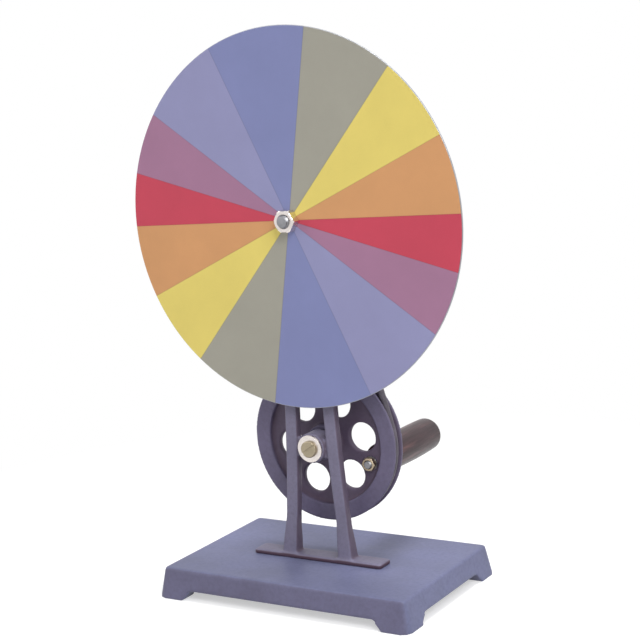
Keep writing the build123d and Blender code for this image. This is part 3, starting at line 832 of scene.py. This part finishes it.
def add_nut(node, settings, material, thread):
    """A hexagon nut in the place of a CAD nut."""
    low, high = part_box(node)
    centre = Vector(((low.x + high.x) / 2, low.y, (low.z + high.z) / 2))
    return grow(
        finished_tree("Hexagon nut", nut_tree),
        node.title(),
        {
            "Centre": centre,
            "Thickness": high.y - low.y,
            "Across Flats": high.z - low.z,
            "Bore Radius": thread[0],
            "Flat Reach": settings.nut_corner,
            "Material": material,
        },
    )


def add_thread(piece, centre, first, last, thread, material):
    """Cuts a thread into the end of a turned piece, from one place along the shaft to another."""
    radius, pitch = thread
    depth = pitch * THREAD_DEPTH
    round_core(piece.data, centre, first - 1e-5, last + 1e-5, radius - depth)
    ridge = grow(
        finished_tree("Screw thread", thread_tree),
        piece.name + "_thread",
        {
            "Start": Vector((centre.x, first + depth, centre.z)),
            "Radius": radius,
            "Pitch": pitch,
            "Length": last - first - 2 * depth,
            "Depth": depth,
            "Material": material,
        },
    )
    join_into(piece, ridge)


def join_into(piece, other):
    """Joins another piece's mesh into a piece."""
    shape = bmesh.new()
    for source in (piece, other):
        shape.from_mesh(source.data)
    shape.to_mesh(piece.data)
    shape.free()
    bpy.data.objects.remove(other)


# ----------------------------------------------------------------------------- operators


class COLOURDISC_OT_base(bpy.types.Operator):
    """Build the base casting"""

    bl_idname = "colourdisc.base"
    bl_label = "Base"

    def execute(self, context):
        settings = context.scene.colour_disc.castings
        shade = settings.painted_shade_colour
        # painted shade in hollows and on the base's front skirt
        paint = enamel("Base_Enamel", settings.base_colour, shade, 0.25, front_shade_share)
        base = cast_piece("base_casting", settings.base_grain, paint)
        hand_over(base, "stand", "base_casting")
        return {"FINISHED"}


class COLOURDISC_OT_upright_frame(bpy.types.Operator):
    """Build the upright frame"""

    bl_idname = "colourdisc.upright_frame"
    bl_label = "Upright frame"

    def execute(self, context):
        settings = context.scene.colour_disc.castings
        flange_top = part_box("base_casting")[1].z + settings.flange

        # painted shade on the legs' narrow sides and along the flange's front edge; the enamel adds
        # more painted shade in hollows
        def shaded_flank(finish):
            return flank_shade_share(finish, flange_top)

        paint = enamel("Frame_Enamel", settings.frame_colour, settings.painted_shade_colour, 0.7, shaded_flank)
        blend = (flange_top, flange_top + settings.foot_blend)
        uprights = cast_piece("upright_frame", settings.frame_grain, paint, blend_height=blend)
        hand_over(uprights, "stand", "upright_frame")
        return {"FINISHED"}


class COLOURDISC_OT_drive_wheel(bpy.types.Operator):
    """Build the drive wheel"""

    bl_idname = "colourdisc.drive_wheel"
    bl_label = "Drive wheel"

    def execute(self, context):
        settings = context.scene.colour_disc.castings
        middle = node_middle("drive_belt").y

        # painted shade in the wheel's recess; the enamel adds more painted shade in hollows
        def recess(finish):
            return recess_shade_share(finish, middle, settings.recess)

        paint = enamel("Wheel_Enamel", settings.wheel_colour, settings.painted_shade_colour, 0.9, recess)
        wheel = cast_piece("drive_wheel", settings.wheel_grain, paint, rounds=4)
        hand_over(wheel, "wheel", "drive_wheel")
        return {"FINISHED"}


class COLOURDISC_OT_belt(bpy.types.Operator):
    """Lay the round belt round the drive wheel and the pulley"""

    bl_idname = "colourdisc.belt"
    bl_label = "Belt"

    def execute(self, context):
        settings = context.scene.colour_disc.belt
        wheel_low, wheel_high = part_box("drive_wheel")
        pulley_low, pulley_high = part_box("driven_pulley")
        wheel_radius = (wheel_high.x - wheel_low.x) / 2 - settings.sink
        pulley_radius = (pulley_high.x - pulley_low.x) / 2 - settings.sink
        back = node_middle("drive_belt").y
        shaft_distance = SPINDLE.z - AXLE.z
        lean = math.asin((wheel_radius - pulley_radius) / shaft_distance)
        points = []
        for height, radius, start, turn, steps in (
            (AXLE.z, wheel_radius, lean, math.pi + 2 * lean, 96),
            (SPINDLE.z, pulley_radius, math.pi - lean, math.pi - 2 * lean, 32),
        ):
            for step in range(steps + 1):
                angle = start - turn * step / steps
                points.append((radius * math.cos(angle), back, height + radius * math.sin(angle)))
        path = bpy.data.curves.new("Belt_Path", "CURVE")
        path.dimensions = "3D"
        spline = path.splines.new("POLY")
        spline.points.add(len(points) - 1)
        for point, place in zip(spline.points, points):
            point.co = (*place, 1.0)
        spline.use_cyclic_u = True
        rubber = moulded_rubber("Belt_Rubber", settings.belt_colour)
        belt = grow(
            belt_tree(),
            "Drive_Belt",
            {"Thickness": settings.thickness, "Material": rubber},
            add_piece("Belt_Path", path),
        )
        hand_over(belt, "stand", "drive_belt")
        return {"FINISHED"}


class COLOURDISC_OT_crank(bpy.types.Operator):
    """Build the crank pin and its turned wooden grip"""

    bl_idname = "colourdisc.crank"
    bl_label = "Crank"

    def execute(self, context):
        handle = context.scene.colour_disc.handle
        metals = context.scene.colour_disc.fasteners
        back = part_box("handle_grip")[1].y
        wood = stained_wood("Handle_Wood", handle.wood_colour, handle.stain_colour, CRANK, back)
        grip = machined_piece("handle_grip", handle.grip_edge, wood)
        hand_over(grip, "grip", "handle_grip")
        steel = turned_metal("Crank_Steel", metals.steel_colour, 0.5, CRANK, 0.3)
        pin = machined_piece("crank_pin", metals.edge, steel)
        pin_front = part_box("crank_pin")[0].y
        boss_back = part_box("drive_wheel")[1].y
        add_thread(pin, CRANK, pin_front, boss_back - PLAIN_SHANK, M5, steel)
        hand_over(pin, "wheel", "crank_pin")
        for node in ("crank_pin_washer", "handle_end_washer"):
            hand_over(machined_piece(node, metals.edge, steel), "wheel", node)
        brass = turned_metal("Crank_Brass", metals.brass_colour, 0.5, CRANK, 0.3)
        nut = add_nut("crank_pin_nut", metals, brass, M5)
        hand_over(nut, "wheel", "crank_pin_nut")
        return {"FINISHED"}


class COLOURDISC_OT_axle(bpy.types.Operator):
    """Build the drive wheel's axle bolt, bush, washers and nuts"""

    bl_idname = "colourdisc.axle"
    bl_label = "Axle"

    def execute(self, context):
        metals = context.scene.colour_disc.fasteners
        steel = turned_metal("Axle_Steel", metals.steel_colour, 0.5, AXLE, 0.3)
        plate = turned_metal("Axle_Plate", metals.plate_colour, 0.6, AXLE, 0.2)
        brass = turned_metal("Axle_Brass", metals.bolt_colour, 0.5, AXLE, 0.3)
        bronze = turned_metal("Axle_Bronze", metals.bronze_colour, 0.4, AXLE, 0.36)
        bolt = machined_piece("axle_bolt", metals.edge, brass)
        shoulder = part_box("axle_end_washer")[0].y
        bolt_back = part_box("axle_bolt")[1].y
        add_thread(bolt, AXLE, shoulder + SHOULDER_GAP, bolt_back, M6, brass)
        hand_over(bolt, "stand", "axle_bolt")
        for node, material, body, slot in (
            ("axle_front_washer", plate, "stand", "bright_plate"),
            ("axle_thrust_washer", steel, "stand", "steel"),
            ("axle_end_washer", steel, "stand", "steel"),
            ("wheel_hub_bush", bronze, "wheel", "bronze"),
        ):
            hand_over(machined_piece(node, metals.edge, material), body, node)
        for node in ("axle_nut", "axle_lock_nut"):
            hand_over(add_nut(node, metals, steel, M6), "stand", node)
        return {"FINISHED"}


class COLOURDISC_OT_foot_screws(bpy.types.Operator):
    """Build the two screws and washers below the base"""

    bl_idname = "colourdisc.foot_screws"
    bl_label = "Foot screws"

    def execute(self, context):
        metals = context.scene.colour_disc.fasteners
        steel = turned_metal("Screw_Steel", metals.steel_colour, 0.45, AXLE, 0.32)
        for node in ("foot_screws", "foot_washers"):
            hand_over(machined_piece(node, metals.edge, steel), "stand", node)
        return {"FINISHED"}


class COLOURDISC_OT_spindle(bpy.types.Operator):
    """Build the disc's spindle, its bushes, the backing flange and the driven pulley"""

    bl_idname = "colourdisc.spindle"
    bl_label = "Spindle"

    def execute(self, context):
        metals = context.scene.colour_disc.fasteners
        steel = turned_metal("Spindle_Steel", metals.steel_colour, 0.5, SPINDLE, 0.28)
        bronze = turned_metal("Spindle_Bronze", metals.bronze_colour, 0.4, SPINDLE, 0.36)
        brass = turned_metal("Pulley_Brass", metals.brass_colour, 0.5, SPINDLE, 0.3)
        spindle = machined_piece("disc_spindle", metals.edge, steel)
        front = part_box("disc_spindle")[0].y
        plate_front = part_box("disc_plate")[0].y
        add_thread(spindle, SPINDLE, front, plate_front, M8, steel)
        hand_over(spindle, "disc", "disc_spindle")
        for node, material, body, slot in (
            ("front_spindle_bush", bronze, "stand", "bronze"),
            ("rear_spindle_bush", bronze, "stand", "bronze"),
            ("disc_backing_flange", steel, "disc", "steel"),
            ("flange_grub_screw", steel, "disc", "steel"),
            ("driven_pulley", brass, "disc", "brass"),
            ("pulley_grub_screw", steel, "disc", "steel"),
        ):
            hand_over(machined_piece(node, metals.edge, material), body, node)
        return {"FINISHED"}


class COLOURDISC_OT_disc(bpy.types.Operator):
    """Build the disc plate, its coloured sectors and its nut"""

    bl_idname = "colourdisc.disc"
    bl_label = "Disc"

    def execute(self, context):
        settings = context.scene.colour_disc.disc
        metals = context.scene.colour_disc.fasteners
        metal = sheet_metal("Disc_Metal", settings.metal_colour, SPINDLE)
        plate = machined_piece("disc_plate", settings.plate_edge, metal)
        hand_over(plate, "disc", "disc_plate")
        low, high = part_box("disc_plate")
        outer = (high.x - low.x) / 2 - settings.margin
        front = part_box("blue_sectors")[0].y
        start = settings.start
        for name, degrees in SECTORS:
            paper = printed_paper(f"{name.capitalize()}_Paper", getattr(settings, name))
            sectors = grow(
                finished_tree("Coloured sectors", sector_tree),
                f"{name.capitalize()}_Sectors",
                {
                    "Centre": Vector((SPINDLE.x, front, SPINDLE.z)),
                    "Start Angle": start,
                    "Angle": math.radians(degrees),
                    "Outer Radius": outer,
                    "Thickness": low.y - front,
                    "Material": paper,
                },
            )
            hand_over(sectors, "disc", f"{name}_sectors")
            start += math.radians(degrees)
        bright = turned_metal("Disc_Nut_Plate", metals.plate_colour, 0.55, SPINDLE, 0.18)
        nut = add_nut("disc_nut", metals, bright, M8)
        hand_over(nut, "disc", "disc_nut")
        return {"FINISHED"}


def area_lamp(name, place, aim, size, watts):
    """A soft, white, square lamp that points at a place."""
    lamp = bpy.data.lights.new(name, "AREA")
    lamp.size = size
    lamp.energy = watts
    lamp_object = bpy.data.objects.new(name, lamp)
    lamp_object.location = place
    lamp_object.rotation_euler = (aim - place).to_track_quat("-Z", "Y").to_euler()
    bpy.context.scene.collection.objects.link(lamp_object)


def seen_directly(recipe):
    """1 for camera, glossy and transmission rays."""
    path = recipe.add("ShaderNodeLightPath").outputs
    sharp = recipe.math("MAXIMUM", path["Is Camera Ray"], path["Is Glossy Ray"])
    return recipe.math("MAXIMUM", sharp, path["Is Transmission Ray"])


class COLOURDISC_OT_stage(bpy.types.Operator):
    """Set up the floor, the light and the camera"""

    bl_idname = "colourdisc.stage"
    bl_label = "Stage"

    def execute(self, context):
        scene = context.scene
        settings = scene.colour_disc.stage
        scene.view_settings.view_transform = "Standard"
        aim = Vector((AIM_RIGHT, node_middle("base_casting").y - AIM_FORWARDS, AIM_HEIGHT))
        # floor
        mesh = bpy.data.meshes.new("Floor")
        corners = [(x * FLOOR_REACH, y * FLOOR_REACH, 0.0) for x, y in FLOOR_CORNERS]
        mesh.from_pydata(corners, [], [(0, 1, 2, 3)])
        material = bpy.data.materials.new("Floor_White")
        material.use_nodes = True
        recipe = Recipe(material.node_tree)
        recipe.tree.nodes.clear()
        grey = (FLOOR_GREY, FLOOR_GREY, FLOOR_GREY, 1.0)
        matt = recipe.result("ShaderNodeBsdfDiffuse", {"Color": grey})
        lift = recipe.result("ShaderNodeEmission", {"Strength": FLOOR_LIFT})
        both = recipe.result("ShaderNodeAddShader", {0: matt, 1: lift})
        place = recipe.add("ShaderNodeTexCoord").outputs["Object"]
        far = recipe.span(recipe.reach(place), *FLOOR_FADE)
        white = recipe.result("ShaderNodeEmission", {"Strength": 1.0})
        paper = recipe.result("ShaderNodeMixShader", {0: far, 1: both, 2: white})
        seen = seen_directly(recipe)
        mixed = recipe.result("ShaderNodeMixShader", {0: seen, 1: matt, 2: paper})
        recipe.add("ShaderNodeOutputMaterial", {"Surface": mixed})
        add_piece("Floor", mesh, material)
        # room light
        world = bpy.data.worlds.new("Room")
        scene.world = world
        world.use_nodes = True
        recipe = Recipe(world.node_tree)
        recipe.tree.nodes.clear()
        strength = recipe.span(seen_directly(recipe), 0.0, 1.0, settings.sky, 1.0)
        sky = recipe.result("ShaderNodeBackground", {"Color": (1, 1, 1, 1), "Strength": strength})
        recipe.add("ShaderNodeOutputWorld", {"Surface": sky})
        for name, place, size, setting in LAMPS:
            area_lamp(name, Vector(place), aim, size, getattr(settings, setting))
        # camera
        a, e, r = settings.azimuth, settings.elevation, settings.roll
        back = Vector((math.sin(a) * math.cos(e), -math.cos(a) * math.cos(e), math.sin(e)))
        right = Vector((math.cos(a), math.sin(a), 0.0))
        up = back.cross(right)
        axes = (
            right * math.cos(r) + up * math.sin(r),
            up * math.cos(r) - right * math.sin(r),
            back,
        )
        camera = bpy.data.cameras.new("Camera")
        camera.lens = settings.lens
        camera.sensor_width = SENSOR_WIDTH
        viewer = bpy.data.objects.new("Camera", camera)
        scene.collection.objects.link(viewer)
        turn = Matrix(axes).transposed().to_4x4()
        viewer.matrix_world = Matrix.Translation(aim + back * settings.distance) @ turn
        scene.camera = viewer
        return {"FINISHED"}


OPERATORS = (
    COLOURDISC_OT_base,
    COLOURDISC_OT_upright_frame,
    COLOURDISC_OT_drive_wheel,
    COLOURDISC_OT_belt,
    COLOURDISC_OT_crank,
    COLOURDISC_OT_axle,
    COLOURDISC_OT_foot_screws,
    COLOURDISC_OT_spindle,
    COLOURDISC_OT_disc,
    COLOURDISC_OT_stage,
)


class COLOURDISC_PT_panel(bpy.types.Panel):
    """Lists the pieces of the colour disc"""

    bl_idname = "COLOURDISC_PT_panel"
    bl_label = "Colour Disc"
    bl_space_type = "VIEW_3D"
    bl_region_type = "UI"
    bl_category = "Colour Disc"

    def draw(self, context):
        for operator in OPERATORS:
            self.layout.operator(operator.bl_idname)
        everything = context.scene.colour_disc
        for group in ("castings", "fasteners", "belt", "handle", "disc", "stage"):
            box = self.layout.box()
            box.label(text=group.capitalize())
            settings = getattr(everything, group)
            for name in settings.__annotations__:
                box.prop(settings, name)


CLASSES = (
    CastingSettings,
    FastenerSettings,
    BeltSettings,
    HandleSettings,
    DiscSettings,
    StageSettings,
    ColourDiscSettings,
    *OPERATORS,
    COLOURDISC_PT_panel,
)


def register():
    for item in CLASSES:
        bpy.utils.register_class(item)
    bpy.types.Scene.colour_disc = bpy.props.PointerProperty(type=ColourDiscSettings)


def unregister():
    del bpy.types.Scene.colour_disc
    for item in reversed(CLASSES):
        bpy.utils.unregister_class(item)


def main():
    register()
    for operator in OPERATORS:
        group, name = operator.bl_idname.split(".")
        getattr(getattr(bpy.ops, group), name)()


if __name__ == "__main__":
    main()
